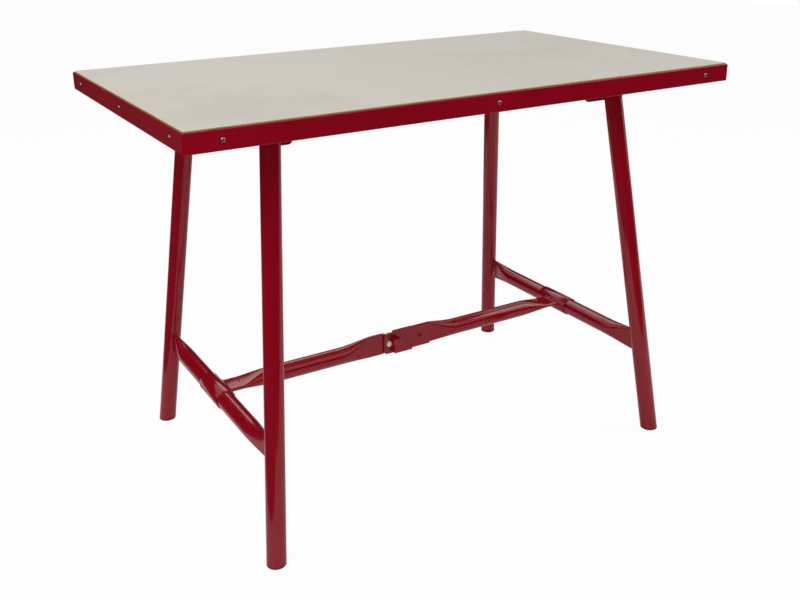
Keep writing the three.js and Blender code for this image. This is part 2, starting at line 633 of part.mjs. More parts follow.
// The knee bolt is parted behind the plate: its head stays on the plate and its nut on the left tongue
function addKneeBolt() {
  const hexRadius = KNEE_HEX / Math.sqrt(3);
  const boltRadius = KNEE_BOLT_DIAMETER / 2;
  const at = (y) => [KNEE_BOLT_X, y, KNEE_PIN_Z];
  const headFace = -PLATE_OUTER_Y - CLEARANCE;
  const shank = bar(at(headFace - OVERCUT), at(-PLATE_INNER_Y), boltRadius);
  const head = bar(at(headFace), at(headFace - KNEE_HEAD_HEIGHT), hexRadius, HEX_SIDES);
  addPiece('knee_bolt', shank.add(head), ZINC);

  const tongueFace = LEFT_TONGUE_THICKNESS / 2;
  const nutFace = tongueFace + CLEARANCE;
  const nutEnd = nutFace + KNEE_NUT_HEIGHT;
  const nut = bar(at(nutFace), at(nutEnd), hexRadius, HEX_SIDES);
  const boltEnd = bar(at(-tongueFace), at(nutEnd + THREAD_END), boltRadius);
  addPiece('knee_nut', nut.add(boltEnd), ZINC);
}

// A rivet along Y, with a head on each of the two faces that it holds together
function rivet(x, z, front, back, diameter, headDiameter, headHeight) {
  const at = (y) => [x, y, z];
  const [frontFace, backFace] = [front - CLEARANCE, back + CLEARANCE];
  const shank = bar(at(frontFace - headHeight / 2), at(backFace + headHeight / 2), diameter / 2, RIVET_SIDES);
  const frontHead = bar(at(frontFace), at(frontFace - headHeight), headDiameter / 2, RIVET_SIDES);
  const backHead = bar(at(backFace), at(backFace + headHeight), headDiameter / 2, RIVET_SIDES);
  return shank.add(frontHead).add(backHead);
}

function addPlateRivet() {
  const solid = rivet(
    PLATE_RIVET_X, KNEE_PIN_Z, -PLATE_OUTER_Y, FLAT_THICKNESS / 2,
    PLATE_RIVET_DIAMETER, PLATE_RIVET_HEAD, PLATE_RIVET_HEAD_HEIGHT);
  const bore = crossBar(PLATE_RIVET_X, KNEE_PIN_Z, -FAR, FAR, PLATE_RIVET_BORE / 2, RIVET_SIDES);
  addPiece('plate_rivet', solid.subtract(bore), PAINT);
}

// Catch: its back leaf turns on a rivet in the knee plate, behind the tab
function catchShape() {
  const high = CATCH_LOW + CATCH_HEIGHT;
  const shape = new THREE.Shape();
  shape.moveTo(CATCH_LEFT, CATCH_LOW);
  shape.lineTo(CATCH_RIGHT, CATCH_LOW);
  shape.lineTo(CATCH_RIGHT, CATCH_LOW + CATCH_SHEET);
  shape.lineTo(CATCH_LEFT + CATCH_TOP_WIDTH, high);
  shape.lineTo(CATCH_LEFT, high);
  shape.closePath();
  return shape;
}

function addCatch() {
  const high = CATCH_LOW + CATCH_HEIGHT;
  const leafBack = -PLATE_OUTER_Y - CLEARANCE;
  const leafFront = leafBack - CATCH_SHEET;
  const tabFront = -PLATE_OUTER_Y - CATCH_STAND_OFF;
  const leaf = plate(catchShape(), leafFront, leafBack);
  const tab = plate(catchShape(), tabFront, tabFront + CATCH_SHEET);
  const wall = box([CATCH_LEFT, tabFront, CATCH_LOW], [CATCH_LEFT + CATCH_SHEET, leafBack, high]);
  const holeRadius = CATCH_RIVET_DIAMETER / 2 + CLEARANCE;
  const hole = crossBar(CATCH_RIVET_X, CATCH_RIVET_Z, leafFront - OVERCUT, leafBack + OVERCUT, holeRadius);
  addPiece('catch', leaf.add(wall).add(tab).subtract(hole), PAINT);

  const pin = rivet(
    CATCH_RIVET_X, CATCH_RIVET_Z, leafFront, -PLATE_INNER_Y,
    CATCH_RIVET_DIAMETER, CATCH_RIVET_HEAD, CATCH_RIVET_HEAD_HEIGHT);
  addPiece('catch_rivet', pin, PAINT);
}

addTop();
CORNERS.forEach(addBracket);
addBracketScrews();
CORNERS.forEach(addLeg);
addCrossbar('left', -1);
addCrossbar('right', 1);
addStays();
addKneePlate();
addKneeBolt();
addPlateRivet();
addCatch();

export default bench;
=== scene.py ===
import json
import math

import bmesh
import bpy
from mathutils import Matrix, Vector


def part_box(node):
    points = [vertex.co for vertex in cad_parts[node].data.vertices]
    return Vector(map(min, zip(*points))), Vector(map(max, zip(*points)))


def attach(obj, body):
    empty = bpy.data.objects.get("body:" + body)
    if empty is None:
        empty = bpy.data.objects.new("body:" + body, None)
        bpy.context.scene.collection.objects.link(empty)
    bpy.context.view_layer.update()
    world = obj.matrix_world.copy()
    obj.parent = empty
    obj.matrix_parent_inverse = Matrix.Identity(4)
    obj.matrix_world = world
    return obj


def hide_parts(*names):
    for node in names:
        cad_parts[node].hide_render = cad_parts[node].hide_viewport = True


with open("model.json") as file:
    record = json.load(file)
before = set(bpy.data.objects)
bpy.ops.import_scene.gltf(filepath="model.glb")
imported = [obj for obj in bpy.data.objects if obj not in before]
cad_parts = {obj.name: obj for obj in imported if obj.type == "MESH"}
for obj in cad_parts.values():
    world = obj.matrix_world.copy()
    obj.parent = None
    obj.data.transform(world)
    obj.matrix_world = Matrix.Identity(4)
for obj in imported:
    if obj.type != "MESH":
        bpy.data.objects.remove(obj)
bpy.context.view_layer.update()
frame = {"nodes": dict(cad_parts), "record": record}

# Sizes in metres, the same as the solids'
TOP_LENGTH = 1.200
TOP_WIDTH = 0.700
TOP_HEIGHT = 0.850
RIM_HEIGHT = 0.035
RIM_FLANGE = 0.035
RIM_WALL = 0.003
PLY_PROUD = 0.003
FIT = 0.0003
RIM_TOP = TOP_HEIGHT - PLY_PROUD
RIM_BOTTOM = RIM_TOP - RIM_HEIGHT
PLY_BOTTOM = RIM_BOTTOM + RIM_WALL + FIT

PIVOT_X = 0.400
PIVOT_Y = 0.219
PIVOT_Z = 0.785
FOOT_X = 0.478
FOOT_Y = 0.324
LEG_RADIUS = 0.019
LEG_WALL = 0.002
LEG_TOP_RADIUS = 0.0267
FOOT_CAP_HEIGHT = 0.0035
FOOT_PLUG_DEPTH = 0.026
SPLAY_X = (FOOT_X - PIVOT_X) / PIVOT_Z
SPLAY_Y = (FOOT_Y - PIVOT_Y) / PIVOT_Z

CROSSBAR_Z = 0.2125
CROSSBAR_RADIUS = 0.019
CROSSBAR_X = PIVOT_X + (PIVOT_Z - CROSSBAR_Z) * SPLAY_X
CROSSBAR_END_Y = PIVOT_Y + (PIVOT_Z - CROSSBAR_Z) * SPLAY_Y
CROSSBAR_FLAT_HEIGHT = 0.050
CROSSBAR_FLAT_LENGTH = 0.014
CROSSBAR_FLARE_LENGTH = 0.080
STAY_Z = 0.217
STAY_RADIUS = 0.019
STAY_FLAT_HEIGHT = 0.052
STAY_FLAT_LENGTH = 0.030
STAY_FLARE_LENGTH = 0.076
FLAT_THICKNESS = 0.008
TUBE_WALL = 0.002
SLEEVE_RADIUS = 0.0213
SLEEVE_LENGTH = 0.100
KNEE_RISE = 0.003
LEFT_FLAT_START = -0.092
LEFT_TONGUE_TIP = -0.036
LEFT_TONGUE_THICKNESS = 0.006
KNEE_PLATE_END = 0.066
RIGHT_TONGUE_START = 0.014

# Rim screws: a pan head with a cross recess; the head's rise is a share of its radius
SCREW_HEAD = 0.0042
SCREW_HEAD_RISE = 0.44
SCREW_HEAD_ROUND = 0.6
SCREW_LENGTH = 0.028
SCREW_SHANK = 0.0025
SCREW_TIP = 0.0004
SCREW_POINT_LENGTH = 0.003
SCREW_FIRST_TURN = 23
SCREW_TURN_STEP = 41
RECESS_ARM = 0.0022
RECESS_HALF = 0.0005
RECESS_DEPTH = 0.0013

# Weld beads, and how far inside the leg or sleeve a pressed end lies, as a share of the radius
CROSSBAR_BEAD = 0.0020
CROSSBAR_BEAD_OFFSET = 0.0012
SLEEVE_BEAD = 0.0015
SLEEVE_BEAD_OFFSET = 0.001
BEAD_RIPPLE = 0.12
BEAD_DRIFT = 0.06
LEG_SEAT = 0.8
SLEEVE_SEAT = 0.9

# The slit in the left half's level flat, drawn as a thin patch of painted shadow a hair proud of the flat
VENT_X = -0.4068
VENT_Y = 0.007
VENT_LONG = 0.018
VENT_WIDE = 0.0024
VENT_DEPTH = 0.001
VENT_LIFT = 0.00015

# Rounded edges; the solids' widths go by words in their names
BOARD_EDGE = 0.0008
RIM_EDGE = 0.0011
SLEEVE_EDGE = 0.0009
FOOT_EDGE = 0.0012
SOLID_EDGES = {"hinge_bracket": 0.0007, "knee_": 0.0005, "catch": 0.0005, "bolt": 0.0006, "nut": 0.0006}
OTHER_EDGE = 0.0003

# Mesh fineness and the smallest sizes that still close a mesh
SIDES = 72
SCREW_SIDES = 32
SCREW_DOME_STEPS = 9
FLARE_STEPS = 18
NOSE_STEPS = 12
BEAD_SIDES = 10
BEAD_POINTS = 64
VENT_POINTS = 28
SMALLEST_BORE = 0.0004
SMALLEST_NOSE = 0.0006

# Camera, solved from the photo's rim, legs and feet
CAMERA_PLACE = (-1.04910, -1.75692, 1.17276)
CAMERA_YAW = math.radians(30.673)
CAMERA_PITCH = math.radians(18.575)
CAMERA_ROLL = math.radians(-0.650)
CAMERA_FOCAL_PX = 964.33
CAMERA_AXIS_PX = 230.0
IMAGE_WIDTH_PX = 800.0
IMAGE_HEIGHT_PX = 600.0
SENSOR_MM = 36.0

# Light: lamps as name, place, size, power and aim, and dark cards as name and two opposite corners
MIDDLE = (0.0, 0.0, 0.45)
LEFT_RIM = (-0.6, 0.0, 0.83)
LAMPS = [
    ("key", (-1.9, -2.2, 3.0), 2.2, 40.0, MIDDLE),
    ("fill", (2.6, -1.2, 2.4), 2.0, 28.0, MIDDLE),
    ("rear", (0.6, 2.6, 3.0), 2.4, 25.0, MIDDLE),
    ("left", (-2.6, 0.4, 3.3), 1.6, 27.0, LEFT_RIM),
]
FLAGS = [
    ("front_flag", (-7, -3.3, -0.2), (6, -3.3, 1.5)),
    ("left_flag", (-5, -3.3, -0.2), (-5, 6, 1.3)),
    ("front_floor_flag", (-5, -3.2, 0.002), (6, -1.2, 0.002)),
    ("left_floor_flag", (-5, -1.2, 0.002), (-0.75, 6, 0.002)),
    ("back_floor_flag", (-0.75, 1.6, 0.002), (6, 6, 0.002)),
    ("back_flag", (-7, 6, -0.2), (9, 6, 4.6)),
]
FLAG_GREY = (0.020, 0.020, 0.021, 1.0)
WORLD_FILL = 0.37
WHITE = (1.0, 1.0, 1.0, 1.0)
FLOOR_GREY = (0.86, 0.86, 0.86, 1.0)
FLOOR_GLOW = 0.96
FLOOR_CORNERS = [(-9, -3.2, 0), (9, -3.2, 0), (9, 14, 0), (-9, 14, 0)]

CORNERS = [
    ("front_left", -1, -1, "left_leg_frame"),
    ("front_right", 1, -1, "right_leg_frame"),
    ("back_left", -1, 1, "left_leg_frame"),
    ("back_right", 1, 1, "right_leg_frame"),
]


# Node helpers
class Nodes:
    """A material's node tree, with short calls to add and link nodes."""

    def __init__(self, name):
        self.material = bpy.data.materials.new(name)
        self.material.use_nodes = True
        self.tree = self.material.node_tree
        self.shader = self.tree.nodes["Principled BSDF"]
        self.position = self.add("ShaderNodeTexCoord").outputs["Object"]

    def add(self, kind, **values):
        node = self.tree.nodes.new(kind)
        for key, value in values.items():
            setattr(node, key, value)
        return node

    def link(self, source, target):
        self.tree.links.new(source, target)

    def scaled(self, scale):
        mapping = self.add("ShaderNodeMapping")
        mapping.inputs["Scale"].default_value = scale
        self.link(self.position, mapping.inputs["Vector"])
        return mapping.outputs["Vector"]

    def noise(self, scale, detail=4.0, roughness=0.55, stretch=(1, 1, 1), distortion=0.0):
        node = self.add("ShaderNodeTexNoise")
        node.inputs["Scale"].default_value = scale
        node.inputs["Detail"].default_value = detail
        node.inputs["Roughness"].default_value = roughness
        node.inputs["Distortion"].default_value = distortion
        self.link(self.scaled(stretch), node.inputs["Vector"])
        return node.outputs["Fac"]

    def ramp(self, source, stops):
        node = self.add("ShaderNodeValToRGB")
        ramp = node.color_ramp
        while len(ramp.elements) < len(stops):
            ramp.elements.new(0.5)
        for element, (place, colour) in zip(ramp.elements, stops):
            element.position = place
            element.color = (*colour, 1.0)
        self.link(source, node.inputs["Fac"])
        return node.outputs["Color"]

    def range(self, source, low, high, start=0.0, end=1.0):
        node = self.add("ShaderNodeMapRange")
        node.inputs["From Min"].default_value = start
        node.inputs["From Max"].default_value = end
        node.inputs["To Min"].default_value = low
        node.inputs["To Max"].default_value = high
        self.link(source, node.inputs["Value"])
        return node.outputs["Result"]

    def math(self, operation, first, second):
        node = self.add("ShaderNodeMath", operation=operation)
        for socket, value in zip(node.inputs, (first, second)):
            if isinstance(value, (int, float)):
                socket.default_value = value
            else:
                self.link(value, socket)
        return node.outputs["Value"]

    def mix(self, factor, first, second, blend="MIX"):
        node = self.add("ShaderNodeMix", data_type="RGBA", blend_type=blend)
        sockets = {"Factor": node.inputs[0], "A": node.inputs[6], "B": node.inputs[7]}
        for key, value in (("Factor", factor), ("A", first), ("B", second)):
            if isinstance(value, (int, float)):
                sockets[key].default_value = value
            elif isinstance(value, tuple):
                sockets[key].default_value = (*value, 1.0)
            else:
                self.link(value, sockets[key])
        return node.outputs[2]

    def bump(self, height, strength, distance):
        node = self.add("ShaderNodeBump")
        node.inputs["Strength"].default_value = strength
        node.inputs["Distance"].default_value = distance
        self.link(height, node.inputs["Height"])
        self.link(node.outputs["Normal"], self.shader.inputs["Normal"])

    def set(self, **values):
        for key, value in values.items():
            self.shader.inputs[key.replace("_", " ")].default_value = value


# Finishes
RED_DEEP = (0.265, 0.0006, 0.0085)
RED_BRIGHT = (0.305, 0.0010, 0.0110)
TOP_PALE = (0.612, 0.575, 0.512)
TOP_WORN = (0.520, 0.482, 0.420)
TOP_FIBRE = (0.555, 0.515, 0.450)
PLY_LIGHT = (0.640, 0.430, 0.190)
PLY_DARK = (0.260, 0.140, 0.055)
UNDERSIDE = (0.500, 0.360, 0.215)
PLY_LAYER = 0.0024


def paint_material():
    nodes = Nodes("red_paint")
    broad = nodes.noise(5.0, detail=3.0)
    nodes.link(nodes.ramp(broad, [(0.35, RED_DEEP), (0.68, RED_BRIGHT)]), nodes.shader.inputs["Base Color"])
    smears = nodes.noise(14.0, detail=5.0)
    nodes.link(nodes.range(smears, 0.09, 0.14, 0.3, 0.7), nodes.shader.inputs["Roughness"])
    nodes.bump(nodes.noise(420.0, detail=1.5), 0.025, 0.0004)
    nodes.set(IOR=1.47)
    return nodes.material


def plywood_material():
    nodes = Nodes("plywood")
    split = nodes.add("ShaderNodeSeparateXYZ")
    nodes.link(nodes.add("ShaderNodeNewGeometry").outputs["Normal"], split.inputs[0])
    facing = split.outputs["Z"]
    place = nodes.add("ShaderNodeSeparateXYZ")
    nodes.link(nodes.position, place.inputs[0])

    smudges = nodes.noise(3.2, detail=7.0, roughness=0.62, distortion=0.6)
    fibres = nodes.noise(9.0, detail=8.0, roughness=0.7, stretch=(0.35, 14.0, 14.0))
    flecks = nodes.noise(60.0, detail=3.0, stretch=(0.4, 3.0, 3.0))
    worn = nodes.mix(nodes.range(smudges, 0.0, 0.75, 0.50, 0.78), TOP_PALE, TOP_WORN)
    grained = nodes.mix(nodes.range(fibres, 0.0, 0.45, 0.48, 0.72), worn, TOP_FIBRE)
    face = nodes.mix(nodes.range(flecks, 0.0, 0.10, 0.60, 0.80), grained, PLY_LIGHT)

    wobble = nodes.math("MULTIPLY", nodes.noise(26.0, detail=2.0, stretch=(1, 1, 0.1)), PLY_LAYER * 0.7)
    height = nodes.math("ADD", nodes.math("SUBTRACT", place.outputs["Z"], PLY_BOTTOM), wobble)
    layers = nodes.math("SINE", nodes.math("MULTIPLY", height, math.pi / PLY_LAYER), 0.0)
    streaks = nodes.noise(18.0, detail=5.0, stretch=(1.0, 1.0, 22.0))
    layered = nodes.ramp(nodes.range(layers, 0.0, 1.0, -1.0, 1.0), [(0.30, PLY_DARK), (0.62, PLY_LIGHT)])
    edge = nodes.mix(nodes.range(streaks, 0.0, 0.4, 0.45, 0.75), layered, PLY_DARK)
    below = nodes.mix(nodes.range(fibres, 0.0, 0.7, 0.40, 0.70), UNDERSIDE, PLY_LIGHT)

    side_or_top = nodes.mix(nodes.range(facing, 0.0, 1.0, 0.45, 0.75), edge, face)
    colour = nodes.mix(nodes.range(facing, 1.0, 0.0, -0.75, -0.45), side_or_top, below)
    nodes.link(colour, nodes.shader.inputs["Base Color"])
    nodes.link(nodes.range(smudges, 0.62, 0.80, 0.35, 0.70), nodes.shader.inputs["Roughness"])
    nodes.bump(nodes.math("ADD", fibres, nodes.math("MULTIPLY", flecks, 0.5)), 0.14, 0.0005)
    nodes.set(IOR=1.4)
    return nodes.material


def zinc_material(name, dark, light):
    nodes = Nodes(name)
    spangle = nodes.noise(260.0, detail=3.0)
    nodes.link(nodes.ramp(spangle, [(0.35, dark), (0.65, light)]), nodes.shader.inputs["Base Color"])
    nodes.link(nodes.range(spangle, 0.26, 0.46, 0.3, 0.7), nodes.shader.inputs["Roughness"])
    nodes.bump(nodes.noise(900.0, detail=2.0), 0.12, 0.0003)
    nodes.set(Metallic=1.0)
    return nodes.material


def plug_material():
    nodes = Nodes("black_plastic")
    mottle = nodes.noise(70.0, detail=4.0)
    colours = [(0.3, (0.010, 0.009, 0.009)), (0.7, (0.030, 0.027, 0.026))]
    nodes.link(nodes.ramp(mottle, colours), nodes.shader.inputs["Base Color"])
    nodes.link(nodes.range(mottle, 0.50, 0.72, 0.3, 0.7), nodes.shader.inputs["Roughness"])
    nodes.bump(nodes.noise(700.0, detail=2.0), 0.15, 0.0003)
    return nodes.material


def shadow_material():
    # Painted shadow: a mottled dark red that stands for the shade inside the stay's slit
    nodes = Nodes("slot_shadow")
    slit_shadow_mottle = nodes.noise(500.0, detail=3.0)
    colours = [(0.3, (0.012, 0.001, 0.002)), (0.7, (0.030, 0.002, 0.004))]
    nodes.link(nodes.ramp(slit_shadow_mottle, colours), nodes.shader.inputs["Base Color"])
    nodes.set(Roughness=0.8)
    return nodes.material


PAINT = paint_material()
PLYWOOD = plywood_material()
ZINC = zinc_material("zinc", (0.66, 0.66, 0.65), (0.84, 0.84, 0.82))
DULL_ZINC = zinc_material("dull_zinc", (0.20, 0.20, 0.20), (0.36, 0.35, 0.34))
PLUG = plug_material()
SHADOW = shadow_material()
SLOT_MATERIALS = {"red_paint": PAINT, "plywood": PLYWOOD, "zinc": ZINC, "black_plastic": PLUG}


# Mesh helpers
def new_piece(name, points, faces, slot, body, material=None, replaces=(), bevel=0.0, sharp=35.0):
    mesh = bpy.data.meshes.new(name)
    mesh.from_pydata([tuple(point) for point in points], [], faces)
    work = bmesh.new()
    work.from_mesh(mesh)
    bmesh.ops.remove_doubles(work, verts=work.verts, dist=1e-6)
    bmesh.ops.recalc_face_normals(work, faces=work.faces)
    work.to_mesh(mesh)
    work.free()
    mesh.shade_smooth()
    mesh.set_sharp_from_angle(angle=math.radians(sharp))
    mesh.materials.append(material or SLOT_MATERIALS[slot])
    piece = bpy.data.objects.new(name, mesh)
    bpy.context.scene.collection.objects.link(piece)
    if bevel:
        add_bevel(piece, bevel)
    if replaces:
        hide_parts(*replaces)
    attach(piece, body)
    return piece


def add_bevel(piece, width, angle=30.0):
    bevel = piece.modifiers.new("edge_round", "BEVEL")
    bevel.width = width
    bevel.segments = 3
    bevel.limit_method = "ANGLE"
    bevel.angle_limit = math.radians(angle)
    bevel.harden_normals = True


def band_faces(ring_count, sides, looped):
    """Quads from ring to ring; looped joins the last ring to the first."""
    faces = []
    for k in range(ring_count if looped else ring_count - 1):
        here, following = k * sides, ((k + 1) % ring_count) * sides
        for i in range(sides):
            j = (i + 1) % sides
            faces.append((here + i, here + j, following + j, following + i))
    return faces


def loft(name, rings, slot, body, looped=False, **options):
    sides = len(rings[0])
    faces = band_faces(len(rings), sides, looped)
    if not looped:
        faces.append(tuple(range(sides)))
        faces.append(tuple(range((len(rings) - 1) * sides, len(rings) * sides)))
    points = [point for ring in rings for point in ring]
    return new_piece(name, points, faces, slot, body, **options)


def turn_to(direction):
    return Vector((0, 0, 1)).rotation_difference(Vector(direction)).to_matrix()


def lathe_rings(profile, origin, direction, sides=SIDES):
    """Rings of a turned piece: profile as (radius, height) along the direction."""
    turn = turn_to(direction)
    rings = []
    for radius, height in profile:
        ring = []
        for i in range(sides):
            angle = 2 * math.pi * i / sides
            spot = Vector((radius * math.cos(angle), radius * math.sin(angle), height))
            ring.append(Vector(origin) + turn @ spot)
        rings.append(ring)
    return rings


# Pressed tubes: a circle of radius r whose quarters are moved apart by wide and tall; rise lifts it
def round_station(x, radius):
    return {"x": x, "r": radius, "wide": 0.0, "tall": 0.0, "rise": 0.0}


def flat_station(x, breadth, upright, thickness=FLAT_THICKNESS):
    r = thickness / 2
    spread = breadth / 2 - r
    wide, tall = (0.0, spread) if upright else (spread, 0.0)
    return {"x": x, "r": r, "wide": wide, "tall": tall, "rise": 0.0}


def knee_station(x, thickness):
    return {**flat_station(x, STAY_FLAT_HEIGHT, True, thickness), "rise": KNEE_RISE}


def eased(start, end):
    """Stations between a flat and a round one; the change is quicker at the flat end."""
    opening = start["r"] < end["r"]
    stations = []
    for i in range(1, FLARE_STEPS):
        t = i / FLARE_STEPS
        smooth = t * t * (3 - 2 * t)
        quick = t * (2 - t) if opening else t * t
        ease = (smooth + quick) / 2
        share = {"x": t, "r": ease, "wide": ease, "tall": ease, "rise": ease}
        stations.append({key: start[key] + (end[key] - start[key]) * share[key] for key in start})
    return stations


def section(station, inset, place):
    ring = []
    r = max(station["r"] - inset, SMALLEST_BORE)
    for i in range(SIDES):
        angle = 2 * math.pi * (i + 0.5) / SIDES
        y = r * math.cos(angle) + math.copysign(station["wide"], math.cos(angle))
        z = r * math.sin(angle) + math.copysign(station["tall"], math.sin(angle))
        ring.append(place @ Vector((station["x"], y, z + station["rise"])))
    return ring


def pressed_tube(name, stations, place, body, nodes):
    outer = [section(station, 0.0, place) for station in stations]
    inner = [section(station, TUBE_WALL, place) for station in reversed(stations)]
    return loft(name, outer + inner, "red_paint", body, looped=True, replaces=nodes, sharp=50.0)


def weld_bead(name, path, radius, body):
    """A closed rippled bead along a path of points."""
    count = len(path)
    rings = []
    for k, point in enumerate(path):
        ahead = (path[(k + 1) % count] - path[k - 1]).normalized()
        turn = turn_to(ahead)
        ripple = BEAD_RIPPLE * math.sin(k * 1.9) + BEAD_DRIFT * math.sin(k * 0.73 + 1.0)
        swell = radius * (1.0 + ripple)
        ring = []
        for i in range(BEAD_SIDES):
            angle = 2 * math.pi * i / BEAD_SIDES
            ring.append(point + turn @ Vector((swell * math.cos(angle), swell * math.sin(angle), 0)))
        rings.append(ring)
    for k in range(1, count):
        rings[k] = nearest_start(rings[k - 1], rings[k])
    points = [point for ring in rings for point in ring]
    faces = band_faces(count, BEAD_SIDES, False)
    closing = nearest_shift(rings[-1], rings[0])
    last = (count - 1) * BEAD_SIDES
    for i in range(BEAD_SIDES):
        j = (i + 1) % BEAD_SIDES
        faces.append((last + i, last + j, (j + closing) % BEAD_SIDES, (i + closing) % BEAD_SIDES))
    return new_piece(name, points, faces, "red_paint", body, sharp=80.0)


def nearest_shift(before, ring):
    def gap(shift):
        return sum((before[i] - ring[(i + shift) % BEAD_SIDES]).length for i in range(BEAD_SIDES))
    return min(range(BEAD_SIDES), key=gap)


def nearest_start(before, ring):
    shift = nearest_shift(before, ring)
    return ring[shift:] + ring[:shift]


# The top: board, welded rim and rim screws
def make_board():
    x = TOP_LENGTH / 2 - RIM_WALL - FIT
    y = TOP_WIDTH / 2 - RIM_WALL - FIT
    corners = [(-x, -y), (x, -y), (x, y), (-x, y)]
    rings = [[(cx, cy, z) for cx, cy in corners] for z in (PLY_BOTTOM, TOP_HEIGHT)]
    loft("board", rings, "plywood", "tabletop", replaces=("plywood_top",), bevel=BOARD_EDGE)


def make_rim():
    outline = [
        (0, 0), (RIM_FLANGE, 0), (RIM_FLANGE, RIM_WALL),
        (RIM_WALL, RIM_WALL), (RIM_WALL, RIM_HEIGHT), (0, RIM_HEIGHT),
    ]
    rings = []
    for depth, rise in outline:
        x, y, z = TOP_LENGTH / 2 - depth, TOP_WIDTH / 2 - depth, RIM_BOTTOM + rise
        rings.append([(-x, -y, z), (x, -y, z), (x, y, z), (-x, y, z)])
    rails = tuple(f"{side}_rail" for side in ("front", "back", "left", "right"))
    loft("welded_rim", rings, "red_paint", "tabletop", looped=True, replaces=rails, bevel=RIM_EDGE)


def screw_head_mesh():
    """A pan head with a cross recess, its seat at the origin and its axis along +Z."""
    rise = SCREW_HEAD * SCREW_HEAD_RISE
    profile = [
        (SCREW_TIP, -SCREW_LENGTH), (SCREW_SHANK, -SCREW_LENGTH + SCREW_POINT_LENGTH),
        (SCREW_SHANK, FIT), (SCREW_HEAD, FIT),
    ]
    for i in range(1, SCREW_DOME_STEPS):
        angle = math.radians(90 * i / SCREW_DOME_STEPS)
        profile.append((SCREW_HEAD * math.cos(angle) ** SCREW_HEAD_ROUND, FIT + rise * math.sin(angle)))
    rings = lathe_rings(profile, (0, 0, 0), (0, 0, 1), SCREW_SIDES)
    faces = band_faces(len(rings), SCREW_SIDES, False)
    last = (len(rings) - 1) * SCREW_SIDES
    faces += [tuple(range(SCREW_SIDES)), tuple(range(last, last + SCREW_SIDES))]
    mesh = bpy.data.meshes.new("screw_body")
    mesh.from_pydata([tuple(p) for ring in rings for p in ring], [], faces)
    cutter = bmesh.new()
    for sx, sy in ((RECESS_ARM, RECESS_HALF), (RECESS_HALF, RECESS_ARM)):
        size = Matrix.Diagonal((2 * sx, 2 * sy, 2 * RECESS_DEPTH, 1))
        bmesh.ops.create_cube(cutter, size=1.0, matrix=Matrix.Translation((0, 0, rise)) @ size)
    cross = bpy.data.meshes.new("screw_recess")
    cutter.to_mesh(cross)
    cutter.free()
    body = bpy.data.objects.new("screw_body", mesh)
    tool = bpy.data.objects.new("screw_recess", cross)
    for item in (body, tool):
        work = bmesh.new()
        work.from_mesh(item.data)
        bmesh.ops.recalc_face_normals(work, faces=work.faces)
        work.to_mesh(item.data)
        work.free()
        bpy.context.scene.collection.objects.link(item)
    cut = body.modifiers.new("recess", "BOOLEAN")
    cut.operation = "DIFFERENCE"
    cut.object = tool
    cut.use_self = True
    bpy.context.view_layer.update()
    result = bpy.data.meshes.new_from_object(body.evaluated_get(bpy.context.evaluated_depsgraph_get()))
    for item in (body, tool):
        bpy.data.objects.remove(item)
    return result


def make_rim_screws():
    head = screw_head_mesh()
    outward = {"front": (0, -1, 0), "back": (0, 1, 0), "left": (-1, 0, 0), "right": (1, 0, 0)}
    for side, out in outward.items():
        for i in (1, 2, 3):
            node = f"{side}_rim_screw_{i}"
            low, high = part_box(node)
            centre = [(a + b) / 2 for a, b in zip(low, high)]
            axis = 0 if out[0] else 1
            centre[axis] = out[axis] * (TOP_LENGTH if axis == 0 else TOP_WIDTH) / 2
            spin = Matrix.Rotation(math.radians(SCREW_FIRST_TURN + SCREW_TURN_STEP * i), 3, "Z")
            turn = turn_to(out) @ spin
            points = [Vector(centre) + turn @ vertex.co for vertex in head.vertices]
            faces = [tuple(polygon.vertices) for polygon in head.polygons]
            new_piece(f"{node}_head", points, faces, "zinc", "tabletop", material=DULL_ZINC, replaces=(node,))


# Leg frames
def leg_ring(sx, sy, radius, height_of):
    """The tube's surface lines, each ended at the height that height_of gives for its place."""
    along = Vector((sx * SPLAY_X, sy * SPLAY_Y, -1.0)).normalized()
    turn = turn_to(along)
    pivot = Vector((sx * PIVOT_X, sy * PIVOT_Y, PIVOT_Z))
    ring = []
    for i in range(SIDES):
        angle = 2 * math.pi * i / SIDES
        base = pivot + turn @ Vector((radius * math.cos(angle), radius * math.sin(angle), 0))
        point = base
        for _ in range(4):
            point = base + along * ((height_of(point) - base.z) / along.z)
        ring.append(point)
    return ring


def level(z):
    return lambda point: z


def leg_top(sx):
    """Level on the outer half, and round about the pivot on the inner half."""
    def height(point):
        inward = min((point.x - sx * PIVOT_X) * sx, 0.0)
        return PIVOT_Z + math.sqrt(max(LEG_TOP_RADIUS ** 2 - inward ** 2, 0.0))
    return height


def make_leg(name, sx, sy, body):
    inner = LEG_RADIUS - LEG_WALL
    rings = [
        leg_ring(sx, sy, LEG_RADIUS, level(FOOT_CAP_HEIGHT)),
        leg_ring(sx, sy, LEG_RADIUS, leg_top(sx)),
        leg_ring(sx, sy, inner, leg_top(sx)),
        leg_ring(sx, sy, inner, level(FOOT_CAP_HEIGHT)),
    ]
    loft(f"{name}_leg_tube", rings, "red_paint", body, looped=True, replaces=(f"{name}_leg",))
    plug = inner - FIT
    cap_top = FOOT_CAP_HEIGHT - FIT
    steps = [
        (LEG_RADIUS - FOOT_EDGE, 0.0), (LEG_RADIUS - FOOT_EDGE / 3, FOOT_EDGE / 6),
        (LEG_RADIUS, FOOT_EDGE * 2 / 3), (LEG_RADIUS, cap_top),
        (plug, cap_top), (plug, FOOT_CAP_HEIGHT + FOOT_PLUG_DEPTH),
    ]
    caps = [leg_ring(sx, sy, radius, level(z)) for radius, z in steps]
    loft(f"{name}_foot", caps, "black_plastic", body, replaces=(f"{name}_foot_plug",))


def leg_surface_y(sx, sy, x, z):
    """Where a line along Y from the middle of the bench meets the leg."""
    drop = PIVOT_Z - z
    off = x - sx * (PIVOT_X + drop * SPLAY_X)
    inside = math.sqrt(max(LEG_RADIUS ** 2 - off ** 2, 0.0))
    return sy * (PIVOT_Y + drop * SPLAY_Y - inside * math.hypot(1.0, SPLAY_Y))


